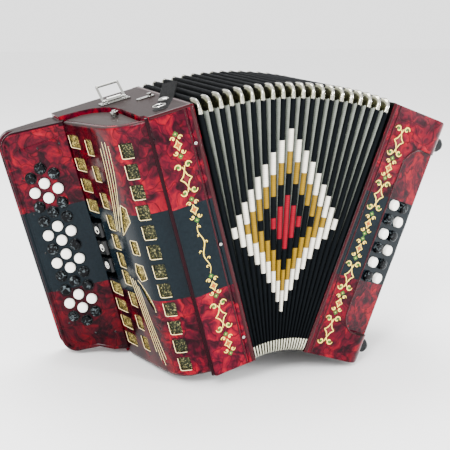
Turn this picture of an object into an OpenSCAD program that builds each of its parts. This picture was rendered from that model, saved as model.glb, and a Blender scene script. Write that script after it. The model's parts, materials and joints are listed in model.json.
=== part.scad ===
// Button accordion, diatonic type, three treble rows, standing with the bellows fanned open.
// Millimetres, Z up, front with the buttons facing -Y, treble side at -X, bass side at +X.
// Origin: middle of the overall box at floor level.

/* [Casings] */
// Height of both casings
body_h = 308; // [290:1:330]
// Depth of both casings, front to back
body_d = 188; // [176:1:200]
// Width of the treble front strip, bellows frame included
strip_w = 51; // [46:1:58]
// Width of the bass casing, bellows frame included
bass_w = 92; // [84:1:100]
// Wall thickness of the wooden casings
wall = 5; // [4:0.5:8]
// Width of each bellows frame
frame_w = 8; // [6:1:12]
// Radius of the outer casing corners seen from the front
corner_r = 18; // [12:1:20]
// Thickness of the cover on the bass end
cover_t = 4; // [3:0.5:6]

/* [Fan] */
// Lean of the treble casing from upright, degrees
treble_lean = 15; // [10:0.5:20]
// Lean of the bass casing from upright, degrees
bass_lean = 20; // [10:0.5:22]
// Thickness of the bellows where it stays closed, at the floor side
closed_w = 62.2; // [56:0.2:70]
// Number of pleats
pleats = 20; // [16:1:22]
// Depth of the pleats
pleat_d = 15; // [12:1:18]
// Rise of the bellows at the middle of the fan
arch_up = 4.8; // [0:0.2:8]

/* [Treble keyboard] */
// Distance between two buttons of one row
pitch = 18; // [17:0.25:19]
// Distance between rows
row_gap = 13.9; // [13.5:0.1:16]
// Diameter of a button
button_d = 12.4; // [11:0.1:13]
// Height of a button above its board
button_up = 5.5; // [5:0.5:7]
// Thickness of the button board
board_t = 14; // [12:1:14]
// Turn of the button board about the vertical, degrees
board_turn = 22.8; // [15:0.1:30]

/* [Bass keyboard] */
// Distance between two bass buttons of one column
bass_pitch = 18; // [17:0.25:19]
// Diameter of a bass button
bass_button_d = 12.4; // [11:0.1:13]

/* [Small parts] */
// Width of the hand strap
strap_band = 62; // [50:1:75]
// Diameter of a rubber foot
foot_d = 17; // [14:1:20]
// Wire diameter of the shoulder strap ring
ring_wire = 3; // [2.5:0.25:4]
// Inner width of the shoulder strap ring, wire middle to wire middle
ring_w = 26; // [22:1:30]
// Height of the shoulder strap ring, wire middle to wire middle
ring_h = 22; // [18:1:26]
// Height of a register switch
switch_h = 18; // [16:0.5:20]

/* [Hidden] */
$fn = 48;
fit = 0.3;
shift_x = 26.8;
shift_y = -92.4;
shift_z = 29.13;
half_w = closed_w / 2;
fan = treble_lean + bass_lean;
bass_up = 1.4;
board_u = -149.2;
board_y = 149.7;
row_z0 = 257.1;
board_v0 = -37.6;
board_v1 = 40.2;
bass_fold = 39;
bass_out_y = 18;
bass_turn = atan(bass_out_y / (bass_w - cover_t - bass_fold));
bass_z0 = 197;
bass_cols = [12.5, 32.5];
button_hole = button_d + 2 * fit + 0.4;
bass_hole = bass_button_d + 2 * fit + 0.4;
stem_d = 4.4;
button_bevel = 1.8;
hinge_up = 3.6;
ring_u = -46.5;
ring_y = 137;
screw_u = -66;
screw_y = 74;
air_y = 62;
air_z = 226;
air_stem_d = 6;
frame_wall = 13;
reed_gap = 24;
bass_reed_gap = 35;
grille_t = 2.6;
window_z0 = 109;
window_h = 79;
switch_gap = 22.7;
knots = [[-52.3, 10], [-62, 13.5], [-72, 18], [-80, 24], [-87, 33.5], [-92.5, 48], [-97, 66],
    [-101, 85], [-106, 107], [-112, 133.6]];

// ---------- frames ----------
// Treble frame: u to the right up to 0 at the bellows, y to the back, w up along the casing
module treble() {
    translate([shift_x - half_w, shift_y, shift_z])
        rotate([0, -treble_lean, 0])
            children();
}

// Bass frame: u to the right from 0 at the bellows
module bass() {
    translate([shift_x + half_w, shift_y, shift_z + bass_up])
        rotate([0, bass_lean, 0])
            children();
}

// Plane of the button board: local y points into the board
module board_plane() {
    treble()
        translate([board_u, board_y, 0])
            rotate([0, 0, -board_turn])
                children();
}

// Plane of the bass button panel
module panel_plane() {
    bass()
        translate([bass_fold, 0, 0])
            rotate([0, 0, bass_turn])
                children();
}

// Extrude a front view (x, z) from depth y0 to depth y1
module deep(y0, y1) {
    translate([0, y1, 0])
        rotate([90, 0, 0])
            linear_extrude(height = y1 - y0)
                children();
}

module box(a, b) {
    translate(a)
        cube([b[0] - a[0], b[1] - a[1], b[2] - a[2]]);
}

module round_rect(x0, y0, x1, y1, r) {
    translate([x0 + r, y0])
        square([x1 - x0 - 2 * r, y1 - y0]);
    translate([x0, y0 + r])
        square([x1 - x0, y1 - y0 - 2 * r]);
    for (x = [x0 + r, x1 - r], y = [y0 + r, y1 - r])
        translate([x, y])
            circle(r = r);
}

// ---------- grille profile ----------
function unit(v) = v / norm(v);
function turn90(v) = [-v[1], v[0]];
function knot_dir(i) = unit(knots[min(i + 1, len(knots) - 1)] - knots[max(i - 1, 0)]);
function inset(d) = [for (i = [0 : len(knots) - 1]) knots[i] - turn90(knot_dir(i)) * d];
function flip(p) = [for (i = [len(p) - 1 : -1 : 0]) p[i]];
function run(i) = i == 0 ? 0 : run(i - 1) + norm(knots[i] - knots[i - 1]);
function seg(s) = max([for (i = [0 : len(knots) - 2]) if (s >= run(i)) i]);
function at(s) = let(i = seg(s)) knots[i] + (s - run(i)) * unit(knots[i + 1] - knots[i]);
function dir_at(s) = let(i = seg(s)) unit(knots[i + 1] - knots[i]);

// Put a shape on the grille at distance s along its profile and height w: local x runs along the
// profile, local y points out of the instrument, local z is up
module on_grille(s, w) {
    d = dir_at(s);
    translate([at(s)[0], at(s)[1], w])
        rotate([0, 0, atan2(d[1], d[0])])
            children();
}

module opening(s, w, a, h) {
    on_grille(s, w)
        box([-a / 2, -8, -h / 2], [a / 2, 8, h / 2]);
}

// A long thin slot from (s0, w0) to (s1, w1)
module slot(s0, w0, s1, w1, t) {
    sm = (s0 + s1) / 2;
    on_grille(sm, (w0 + w1) / 2)
        rotate([0, atan2(s1 - s0, w1 - w0), 0])
            box([-t / 2, -8, -norm([s1 - s0, w1 - w0]) / 2], [t / 2, 8, norm([s1 - s0, w1 - w0]) / 2]);
}

// ---------- treble casing ----------
function casing_profile() = [[-frame_w - 0.1, 1], [-strip_w + 2, 1], [-50.6, 3], [-50.6, 15.5],
    [-54, 17.5], [-54.5, 84], [-57, 104], [-63, 122], [-74, 138], [-88, 146], [-104, 149.5], [-112, 149.6],
    [-184, 179.9], [-184, 184], [-181, body_d - 2], [-frame_w - 0.1, body_d - 2]];

module casing_outline() {
    round_rect(-184, 20, -100, 304, corner_r);
    polygon([[-150, 20.5], [-122, 11], [-112, 9], [-112, 303], [-150, 303]]);
    translate([-112.5, 0])
        square([113, body_h]);
}

module treble_casing() {
    color("DarkRed")
        treble()
            difference() {
                intersection() {
                    linear_extrude(height = body_h)
                        polygon(casing_profile());
                    deep(-10, body_d + 10)
                        casing_outline();
                }
                // reed chamber, open to the bellows
                box([-48, 7, wall], [0, 18, body_h - wall]);
                box([-50, 17.5, wall], [0, body_d - 2 - wall, body_h - wall]);
                // keyboard chamber behind the board
                translate([0, 0, 32])
                    linear_extrude(height = 258)
                        polygon([[-60, 128], [-74, 145], [-88, 152], [-112, 155], [-174, 181],
                            [-174, 181.5], [-60, 181.5]]);
                translate([board_u, board_y + board_t / cos(board_turn), 0])
                    rotate([0, 0, -board_turn])
                        box([-27, -6, 34], [28, 6, 286]);
                // pallet holes through the sound board, three ranks
                for (i = [0 : 16], k = [0, 1])
                    box([-60, 24 + 32 * k, 26 + 15.4 * i], [-45, 46 + 32 * k, 35 + 15.4 * i]);
                // shoulder pocket between sound board and keyboard chamber
                box([-61, 100, 32], [-49, 181.5, 290]);
            }
}

module treble_bellows_frame() {
    color("Firebrick")
        treble()
            difference() {
                box([-frame_w, 0, 0], [0, body_d, body_h]);
                box([-frame_w - 1, frame_wall, frame_wall],
                    [1, body_d - frame_wall, body_h - frame_wall]);
            }
}

function button_z(row, i) = row_z0 - pitch * (row == 0 ? i : i + 0.5);
function row_len(row) = row == 0 ? 12 : 11;

module fingerboard() {
    color("DarkRed")
        board_plane()
            difference() {
                union() {
                    deep(0, board_t)
                        round_rect(board_v0, 20, board_v1 - 0.4, 304, corner_r);
                    deep(0, board_t)
                        polygon([[5, 20.3], [22, 12], [board_v1 - 0.4, 9.5],
                            [board_v1 - 0.4, 304], [5, 304]]);
                }
                for (row = [-1, 0, 1], i = [0 : row_len(row) - 1])
                    translate([row * row_gap, -1, button_z(row, i)])
                        rotate([-90, 0, 0])
                            cylinder(h = board_t + 2, d = button_hole);
                // screw pockets at the rim
                for (z = [30, 106, 208, 290])
                    translate([board_v0 + 7, -1, z])
                        rotate([-90, 0, 0])
                            cylinder(h = 2, d = 4);
            }
}

module treble_button(row, i) {
    color(i % 3 == 0 ? "Black" : "Ivory")
        board_plane()
            translate([row * row_gap, 0, button_z(row, i)])
                rotate([-90, 0, 0])
                    union() {
                        translate([0, 0, 1 - button_up])
                            cylinder(h = button_up + 1.6, d = button_d);
                        translate([0, 0, -button_up])
                            cylinder(h = 1, d1 = button_d - button_bevel, d2 = button_d);
                        cylinder(h = board_t + 3, d = stem_d);
                    }
}

module treble_grille() {
    color("Maroon")
        treble()
            difference() {
                union() {
                    translate([0, 0, 2])
                        linear_extrude(height = body_h - 6)
                            polygon(concat(knots, flip(inset(grille_t))));
                    // end plates, with the thumb screws through them
                    for (z = [2, body_h - 6.5])
                        translate([0, 0, z])
                            linear_extrude(height = 2.5)
                                polygon(concat(knots, [[-106, 140], [-88, 141.5], [-76, 134],
                                    [-66.5, 120], [-60, 102], [-57, 84], [-56.5, 16]]));
                    // housing floor of the register switches
                    translate([0, 0, window_z0 - 3])
                        linear_extrude(height = window_h + 6)
                            polygon([[-99, 118], [-99, 141], [-96, 141], [-96, 118]]);
                    for (z = [window_z0 - 3, window_z0 + window_h])
                        translate([0, 0, z])
                            linear_extrude(height = 3)
                                polygon([at(118), at(144), [-106, 140], [-96, 141], [-96, 112]]);
                }
                for (i = [0 : 11])
                    opening(27, 276.4 - 23.4 * i, 15, 17);
                for (z = [281.5, 254, 228.5, 203.5, 97, 74, 51, 28])
                    opening(129.5, z, 24, 15);
                for (z = [277.6, 246.6, 214.5, 187.8, 164.1, 140.8, 118.4, 90.6, 59.6, 31.6])
                    opening(95.2, z, 15, 18.5);
                // upper sheaf of slots
                slot(68, 280, 84, 184, 3);
                slot(60, 286, 78, 190, 3);
                slot(53, 286, 72, 196, 2.4);
                slot(51, 214, 68, 178, 7);
                // waist and lower sheaf
                opening(54.5, 163, 11, 15);
                opening(55, 132, 11, 15);
                slot(67, 118, 50, 86, 7);
                slot(82, 120, 70, 30, 3);
                slot(77, 112, 62, 20, 3);
                slot(71, 104, 54, 14, 2.4);
                // register window
                translate([0, 0, window_z0])
                    linear_extrude(height = window_h)
                        polygon([at(120) + [8, -1.9], at(120) + [-6, 1.3], [-120, 130],
                            [-120, 146], [-99.5, 146], [-99.5, 114]]);
                for (z = [-1, body_h - 8])
                    translate([screw_u, screw_y, z])
                        cylinder(h = 9, d = 5.4);
            }
}

module grille_cloth() {
    color("Goldenrod")
        treble()
            difference() {
                translate([0, 0, 6])
                    linear_extrude(height = body_h - 14)
                        polygon(concat(inset(grille_t + 0.4), flip(inset(grille_t + 1.2))));
                translate([0, 0, window_z0 - 4])
                    linear_extrude(height = window_h + 8)
                        polygon([at(114) + [12, -2], at(114) + [-6, 1.3], [-125, 130],
                            [-125, 150], [-90, 150]]);
            }
}

// Rocker in the register window, pivot at its back edge
module register_switch(i) {
    z = window_z0 + window_h / 2 + switch_gap * (1 - i);
    color("Black")
        treble()
            translate([0, 0, z - switch_h / 2])
                union() {
                    linear_extrude(height = switch_h)
                        polygon([[-108.6, 119.5], [-113.2, 131.5], [-110, 137], [-103.4, 137.6],
                            [-102.4, 133], [-104.2, 119]]);
                    translate([-103.6, 135.2, 2])
                        cylinder(h = switch_h - 4, d = 5);
                }
}

// ---------- treble metal and leather ----------
module strap_ring() {
    color("Silver")
        treble()
            translate([ring_u, ring_y, body_h + hinge_up])
                rotate([-45, 0, 0])
                    union() {
                        for (z = [0, ring_h])
                            translate([-ring_w / 2, 0, z])
                                rotate([0, 90, 0])
                                    cylinder(h = ring_w, d = ring_wire);
                        for (x = [-ring_w / 2, ring_w / 2])
                            translate([x, 0, 0])
                                cylinder(h = ring_h, d = ring_wire);
                        for (x = [-ring_w / 2, ring_w / 2], z = [0, ring_h])
                            translate([x, 0, z])
                                sphere(d = ring_wire + 0.2);
                    }
}

module treble_fittings() {
    color("Gainsboro")
        treble() {
            // bracket that holds the strap ring
            difference() {
                union() {
                    box([-64, 129, body_h], [-29, 145, body_h + 1.6]);
                    translate([-55, ring_y, body_h + hinge_up])
                        rotate([0, 90, 0])
                            cylinder(h = 17, d = 6.6);
                    box([-55, ring_y - 3.3, body_h + 1], [-38, ring_y + 3.3, body_h + hinge_up]);
                }
                translate([-70, ring_y, body_h + hinge_up])
                    rotate([0, 90, 0])
                        cylinder(h = 50, d = ring_wire + 0.16);
            }
            for (x = [-60.5, -32.5])
                translate([x, 131.6, body_h + 1])
                    cylinder(h = 1.6, d = 4.6);
            // stud plate beside the bellows strap
            difference() {
                union() {
                    box([-26, 99, body_h], [-9, 107, body_h + 1.4]);
                    translate([-26, 103, body_h])
                        cylinder(h = 1.4, d = 8);
                    translate([-14, 103, body_h])
                        cylinder(h = 4.5, d = 5);
                }
                translate([-25, 103, body_h - 1])
                    cylinder(h = 4, d = 2.6);
            }
            // thumb screws that hold the grille
            for (k = [0, 1])
                translate([screw_u, screw_y, k == 0 ? -3.5 : body_h - 7])
                    union() {
                        cylinder(h = 10.5, d = 4.6);
                        translate([0, 0, k == 0 ? -2 : 4.2])
                            cylinder(h = 4.5, d = 9);
                    }
            // bellows pins along the front strip
            for (z = [34, 150, 267])
                translate([-8, -1.4, z])
                    rotate([-90, 0, 0])
                        cylinder(h = 1.3, d = 3.6);
            // staple for the lower end of the shoulder strap
            difference() {
                box([-62, 150, -6], [-42, 158, -0.1]);
                box([-58, 149, -4], [-46, 159, 1]);
            }
        }
}

module bellows_strap() {
    color("Black")
        treble()
            translate([-31, 20, body_h])
                rotate([0, 0, -28.2])
                    union() {
                        difference() {
                            translate([-9, 0, 0])
                                rotate([0, 90, 0])
                                    rotate([0, 0, 90])
                                        linear_extrude(height = 18)
                                            polygon([[-4, 0.2], [44, 0.2], [93, 9.4], [93, 12.6],
                                                [43, 3.4], [-4, 3.4]]);
                            translate([0, 0, -1])
                                difference() {
                                    box([-12, -12, 0], [12, 5, 8]);
                                    translate([0, 5, -1])
                                        cylinder(h = 10, d = 18.2);
                                }
                        }
                        translate([0, 34, 3])
                            cylinder(h = 2, d = 12);
                    }
}

module treble_reed_blocks() {
    color("BurlyWood")
        treble()
            for (y = [22, 62, 120]) {
                difference() {
                    box([-49.8, y, 20], [12, y + 26, body_h - 22]);
                    for (i = [0 : 10], k = [0, 1])
                        box([-44, k == 0 ? y - 1 : y + 15, 26 + reed_gap * i],
                            [6, k == 0 ? y + 11 : y + 27, 40 + reed_gap * i]);
                }
                for (i = [0 : 10], k = [0, 1])
                    box([-42, k == 0 ? y - 2.2 : y + 26.2, 23 + reed_gap * i],
                        [4, k == 0 ? y - 0.2 : y + 28.2, 43 + reed_gap * i]);
            }
}

// ---------- bellows ----------
// Front view of one pleat ridge or of the inner sleeve, between fan shares a and b
function lean_at(t) = -treble_lean + fan * t;
function foot_at(t) = [-half_w + closed_w * t, bass_up * t + 4 * arch_up * t * (1 - t)];
function pt(t, w) = foot_at(t) + w * [sin(lean_at(t)), cos(lean_at(t))];

function open_share(k) = -0.02 + 1.04 * k / 8;

module wedge(a, b, w0, w1) {
    polygon([pt(a, w0), pt(a, w1), pt((a + b) / 2, w1 + 0.4), pt(b, w1), pt(b, w0)]);
}

module bellows_folds() {
    n = pleats;
    color("DimGray")
        translate([shift_x, shift_y, shift_z])
            difference() {
                union() {
                    for (i = [0 : n - 1])
                        deep(pleat_d, body_d - pleat_d)
                            wedge((i + 0.002) / n, (i + 0.998) / n + (i < n - 1 ? 0.004 / n : 0),
                                pleat_d, body_h - pleat_d);
                    for (i = [0 : n - 1])
                        deep(0.6, body_d - 0.6)
                            wedge((i + 0.2) / n, (i + 0.8) / n, 0.6, body_h - 0.6);
                }
                deep(pleat_d + 2, body_d - pleat_d - 2)
                    polygon(concat([for (k = [0 : 8]) pt(open_share(k), pleat_d + 2)],
                        [for (k = [8 : -1 : 0]) pt(open_share(k), body_h - pleat_d - 2)]));
            }
}

// ---------- bass side ----------
module bass_bellows_frame() {
    color("Firebrick")
        bass()
            difference() {
                box([0, 0, 0], [frame_w, body_d, body_h]);
                box([-1, frame_wall, frame_wall],
                    [frame_w + 1, body_d - frame_wall, body_h - frame_wall]);
            }
}

function bass_button_z(i) = bass_z0 - bass_pitch * i;

// Front view of the bass side, cover included
module bass_outline() {
    translate([frame_w + 0.1, 0])
        square([40, body_h]);
    round_rect(frame_w + 2, 0, bass_w, body_h, corner_r);
}

module bass_casing() {
    u1 = bass_w - cover_t - 0.1;
    color("DarkRed")
        bass()
            difference() {
                intersection() {
                    deep(1, body_d - 2)
                        bass_outline();
                    box([0, 0, -1], [u1, body_d, body_h + 1]);
                }
                // rounded front outer edge
                translate([u1 - 24, 25, -1])
                    difference() {
                        box([0, -30, 0], [30, 0, body_h + 2]);
                        translate([0, 0, -1])
                            cylinder(h = body_h + 4, r = 24);
                    }
                // inside
                box([frame_w - 1, 7, wall], [50, body_d - 8, body_h - wall]);
                box([45, 28, 18], [u1 + 1, body_d - 8, body_h - 18]);
                // recess of the slanting button panel
                translate([bass_fold, 0, 0])
                    rotate([0, 0, bass_turn])
                        deep(-40, 1.4)
                            round_rect(0, 35, 110, 268, 24);
                for (i = [0 : 5], c = [0, 1])
                    translate([bass_fold, 0, 0])
                        rotate([0, 0, bass_turn])
                            translate([bass_cols[c], -5, bass_button_z(i)])
                                rotate([-90, 0, 0])
                                    cylinder(h = 40, d = bass_hole);
                // air valve hole in the outer half of the back wall
                box([20, body_d - 10, 248], [44, body_d + 1, 272]);
            }
}

module bass_button_pair(i) {
    color("Ivory")
        panel_plane()
            for (c = [0, 1])
                translate([bass_cols[c], 1.4, bass_button_z(i)])
                    rotate([-90, 0, 0])
                        union() {
                            translate([0, 0, -6.5])
                                cylinder(h = 9.6, d = bass_button_d);
                            translate([0, 0, -7.5])
                                cylinder(h = 1, d1 = bass_button_d - button_bevel, d2 = bass_button_d);
                            cylinder(h = 12, d = stem_d);
                        }
}

module bass_end_cover() {
    u1 = bass_w - cover_t;
    color("DarkRed")
        bass() {
            difference() {
                intersection() {
                    translate([u1, 0, 0])
                        rotate([90, 0, 90])
                            linear_extrude(height = cover_t)
                                round_rect(25, 1, body_d - 2, body_h - 1, 12);
                    deep(0, body_d)
                        bass_outline();
                }
                for (i = [0 : 6], y = [44, 158])
                    box([u1 - 1, y, 70 + 22 * i], [u1 + 6, y + 12, 76 + 22 * i]);
                translate([u1 - 1, air_y, air_z])
                    rotate([0, 90, 0])
                        cylinder(h = cover_t + 2, d = air_stem_d + 0.2);
            }
            // loops that hold the hand strap
            for (z = [26, body_h - 38])
                difference() {
                    box([bass_w + 0.1, 75, z], [bass_w + 8.5, 85 + strap_band, z + 12]);
                    box([bass_w - 1, 79, z - 1], [bass_w + 5.5, 81 + strap_band, z + 13]);
                }
        }
}

module bass_strap() {
    u1 = bass_w + 0.9;
    y0 = 80;
    color("Black")
        bass()
            translate([0, y0 + strap_band, 0])
                rotate([90, 0, 0])
                    linear_extrude(height = strap_band)
                        polygon([[u1, 22], [u1 + 4, 22], [u1 + 4, 42], [u1 + 33, 82], [u1 + 41, 122],
                            [u1 + 41, 186], [u1 + 33, 226], [u1 + 4, 266], [u1 + 4, 286],
                            [u1, 286], [u1, 264.7], [u1 + 29.3, 224.4], [u1 + 37, 185.6],
                            [u1 + 37, 122.4], [u1 + 29.3, 83.6], [u1, 43.3]]);
}

module air_button() {
    color("Silver")
        bass()
            translate([bass_w, air_y, air_z])
                rotate([0, 90, 0])
                    union() {
                        translate([0, 0, -16])
                            cylinder(h = 23, d = air_stem_d);
                        translate([0, 0, 7])
                            cylinder(h = 4, d = 15);
                    }
}

module bass_feet() {
    color("Black")
        bass()
            for (y = [36, 164], z = [17, 283])
                translate([bass_w + 0.05, y, z])
                    rotate([0, 90, 0])
                        union() {
                            cylinder(h = 11, d = foot_d);
                            translate([0, 0, 11])
                                cylinder(h = 3.5, d1 = foot_d, d2 = foot_d - 6);
                        }
}

module bass_reed_block() {
    color("BurlyWood")
        bass()
            for (y = [60, 112]) {
                difference() {
                    box([-12, y, 24], [44, y + 26, body_h - 60]);
                    for (i = [0 : 5], k = [0, 1])
                        box([-6, k == 0 ? y - 1 : y + 15, 32 + bass_reed_gap * i],
                            [38, k == 0 ? y + 11 : y + 27, 56 + bass_reed_gap * i]);
                }
                for (i = [0 : 5], k = [0, 1])
                    box([-4, k == 0 ? y - 2.2 : y + 26.2, 29 + bass_reed_gap * i],
                        [36, k == 0 ? y - 0.2 : y + 28.2, 59 + bass_reed_gap * i]);
            }
}

// ---------- drawing ----------
treble_casing();
fingerboard();
treble_grille();
grille_cloth();
register_switch(0);  // register_switch_1
register_switch(1);  // register_switch_2
register_switch(2);  // register_switch_3
strap_ring();
treble_fittings();
bellows_strap();
treble_bellows_frame();
treble_reed_blocks();
bellows_folds();
bass_bellows_frame();
bass_casing();
bass_end_cover();
bass_reed_block();
bass_strap();
air_button();
bass_feet();
bass_button_pair(0);  // bass_buttons_1
bass_button_pair(1);  // bass_buttons_2
bass_button_pair(2);  // bass_buttons_3
bass_button_pair(3);  // bass_buttons_4
bass_button_pair(4);  // bass_buttons_5
bass_button_pair(5);  // bass_buttons_6
treble_button(-1, 0);  // button_outer_01
treble_button(-1, 1);  // button_outer_02
treble_button(-1, 2);  // button_outer_03
treble_button(-1, 3);  // button_outer_04
treble_button(-1, 4);  // button_outer_05
treble_button(-1, 5);  // button_outer_06
treble_button(-1, 6);  // button_outer_07
treble_button(-1, 7);  // button_outer_08
treble_button(-1, 8);  // button_outer_09
treble_button(-1, 9);  // button_outer_10
treble_button(-1, 10);  // button_outer_11
treble_button(0, 0);  // button_middle_01
treble_button(0, 1);  // button_middle_02
treble_button(0, 2);  // button_middle_03
treble_button(0, 3);  // button_middle_04
treble_button(0, 4);  // button_middle_05
treble_button(0, 5);  // button_middle_06
treble_button(0, 6);  // button_middle_07
treble_button(0, 7);  // button_middle_08
treble_button(0, 8);  // button_middle_09
treble_button(0, 9);  // button_middle_10
treble_button(0, 10);  // button_middle_11
treble_button(0, 11);  // button_middle_12
treble_button(1, 0);  // button_inner_01
treble_button(1, 1);  // button_inner_02
treble_button(1, 2);  // button_inner_03
treble_button(1, 3);  // button_inner_04
treble_button(1, 4);  // button_inner_05
treble_button(1, 5);  // button_inner_06
treble_button(1, 6);  // button_inner_07
treble_button(1, 7);  // button_inner_08
treble_button(1, 8);  // button_inner_09
treble_button(1, 9);  // button_inner_10
treble_button(1, 10);  // button_inner_11
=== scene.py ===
"""Looks of the button accordion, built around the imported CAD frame."""

import json
import math

import bmesh
import bpy
from mathutils import Matrix, Vector


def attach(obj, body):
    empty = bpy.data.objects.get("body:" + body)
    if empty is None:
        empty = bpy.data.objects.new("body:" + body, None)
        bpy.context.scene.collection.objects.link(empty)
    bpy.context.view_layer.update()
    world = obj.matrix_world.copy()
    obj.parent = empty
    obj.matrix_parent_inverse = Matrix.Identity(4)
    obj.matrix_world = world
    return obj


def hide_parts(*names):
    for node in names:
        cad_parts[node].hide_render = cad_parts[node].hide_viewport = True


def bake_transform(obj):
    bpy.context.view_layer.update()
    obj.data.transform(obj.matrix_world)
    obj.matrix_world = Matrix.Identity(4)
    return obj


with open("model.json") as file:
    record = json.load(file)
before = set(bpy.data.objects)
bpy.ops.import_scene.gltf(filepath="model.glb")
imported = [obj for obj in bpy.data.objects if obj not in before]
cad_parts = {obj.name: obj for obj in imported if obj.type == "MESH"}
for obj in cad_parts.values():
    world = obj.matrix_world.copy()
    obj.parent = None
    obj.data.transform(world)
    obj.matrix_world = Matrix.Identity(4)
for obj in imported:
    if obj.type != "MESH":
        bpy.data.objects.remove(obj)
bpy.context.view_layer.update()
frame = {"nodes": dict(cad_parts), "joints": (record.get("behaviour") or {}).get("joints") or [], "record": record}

MM = 0.001
INWARD = (0, 1, 0)
UP = (0, 0, 1)
JOINTS = {j["name"]: j for j in frame["joints"]}
MOUNTS = {m["name"]: m for m in frame["record"]["mounts"]}


# ---------- the two casings' own frames ----------
def casing_frame(u_axis, point, local):
    """Matrix from a casing's own (u, y, w) millimetres to the row frame; local lies at point."""
    u = Vector(u_axis).normalized()
    y = Vector((0, 1, 0))
    turn = Matrix((u, y, u.cross(y))).transposed()
    place = turn.to_4x4() @ Matrix.Scale(MM, 4)
    place.translation = Vector(point) - turn @ Vector(local) * MM
    return place


RING = JOINTS["strap_ring_swing"]
FOOT = MOUNTS["bass_foot_face"]
TREBLE = casing_frame(RING["axis"], RING["pos_m"], (-46.5, 137, 311.6))
BASS = casing_frame(FOOT["axis"], FOOT["pos_m"], (106.55, 36, 283))

# Sizes in millimetres, as in the CAD model
BODY_H = 308
BODY_D = 188
STRIP_W = 51
BASS_W = 92
BAND = (99.8, 203.7)
BOARD_BAND = (104.5, 208)
BOARD_AT = (-149.2, 149.7)
BOARD_TURN = 22.8
BASS_FOLD = 39
BASS_TURN = math.degrees(math.atan2(18, 49))
PLEATS = 20
CLOSED_W = 62.2


def plane_frame(casing, u, y, degrees):
    """A frame turned about the casing's own height axis, its y pointing into the casing."""
    return casing @ Matrix.Translation((u, y, 0)) @ Matrix.Rotation(math.radians(degrees), 4, "Z")


BOARD = plane_frame(TREBLE, *BOARD_AT, -BOARD_TURN)
PANEL = plane_frame(BASS, BASS_FOLD, 0, BASS_TURN)


# ---------- materials ----------
class Shader:
    """A node material being built, with short calls for the nodes used here."""

    def __init__(self, name, place=None):
        self.mat = bpy.data.materials.new(name)
        self.mat.use_nodes = True
        self.tree = self.mat.node_tree
        self.bsdf = self.tree.nodes["Principled BSDF"]
        self.coords = self.add("TexCoord")
        self.normal = self.coords.outputs["Normal"]
        self.at = self.local(place or Matrix.Scale(MM, 4))

    def feed(self, socket, value):
        if isinstance(value, bpy.types.NodeSocket):
            self.tree.links.new(value, socket)
        else:
            socket.default_value = value

    def add(self, kind, **inputs):
        """A new node; underscores in the names of its inputs stand for spaces."""
        node = self.tree.nodes.new("ShaderNode" + kind)
        for key, value in inputs.items():
            self.feed(node.inputs[key.replace("_", " ")], value)
        return node

    def local(self, place):
        """Object coordinates, in the millimetres of place."""
        inside = place.inverted()
        turn = inside.to_3x3().normalized().to_euler()
        node = self.add("Mapping", Vector=self.coords.outputs["Object"], Location=inside.translation,
                        Rotation=turn, Scale=(1 / MM,) * 3)
        return node.outputs["Vector"]

    def math(self, operation, a, b=0.5, c=0.5):
        node = self.add("Math")
        node.operation = operation
        for socket, value in zip(node.inputs, (a, b, c)):
            self.feed(socket, value)
        return node.outputs[0]

    def times(self, a, b):
        return self.math("MULTIPLY", a, b)

    def mad(self, a, b, c):
        """a times b, plus c."""
        return self.math("MULTIPLY_ADD", a, b, c)

    def vector(self, operation, a, b):
        node = self.add("VectorMath")
        node.operation = operation
        self.feed(node.inputs[0], a)
        self.feed(node.inputs[1], b)
        return node.outputs["Value" if operation == "DOT_PRODUCT" else "Vector"]

    def scale(self, a, factor):
        node = self.add("VectorMath")
        node.operation = "SCALE"
        self.feed(node.inputs[0], a)
        self.feed(node.inputs["Scale"], factor)
        return node.outputs["Vector"]

    def split(self, a):
        return self.add("SeparateXYZ", Vector=a).outputs

    def mix(self, factor, a, b):
        node = self.add("Mix")
        node.data_type = "RGBA"
        self.feed(node.inputs[0], factor)
        self.feed(node.inputs[6], a)
        self.feed(node.inputs[7], b)
        return node.outputs[2]

    def noise(self, at, scale, detail=3, distortion=0, part="Fac"):
        node = self.add("TexNoise", Vector=at, Scale=scale, Detail=detail, Distortion=distortion)
        return node.outputs[part]

    def cells(self, at, scale, feature="F1", part="Distance"):
        node = self.add("TexVoronoi", Vector=at, Scale=scale)
        node.feature = feature
        return node.outputs[part]

    def ramp(self, factor, stops):
        """stops are (place, colour) pairs; a colour is three numbers."""
        node = self.add("ValToRGB")
        band = node.color_ramp
        while len(band.elements) < len(stops):
            band.elements.new(0.5)
        for element, (place, colour) in zip(band.elements, stops):
            element.position = place
            element.color = (*colour, 1)
        self.feed(node.inputs[0], factor)
        return node.outputs["Color"]

    def steps(self, factor, low, high):
        """0 at low and 1 at high, either of which may be the larger."""
        return self.add("MapRange", Value=factor, From_Min=low, From_Max=high).outputs["Result"]

    def bump(self, height, distance, strength=1.0, rounding=0.0):
        node = self.add("Bump", Strength=strength, Distance=distance, Height=height)
        if rounding:
            bevel = self.add("Bevel", Radius=rounding)
            bevel.samples = 4
            self.feed(node.inputs["Normal"], bevel.outputs["Normal"])
        self.feed(self.bsdf.inputs["Normal"], node.outputs["Normal"])

    def finish(self, **values):
        """Sets the shader's own sockets; underscores stand for spaces."""
        for key, value in values.items():
            self.feed(self.bsdf.inputs[key.replace("_", " ")], value)
        return self.mat


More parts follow.
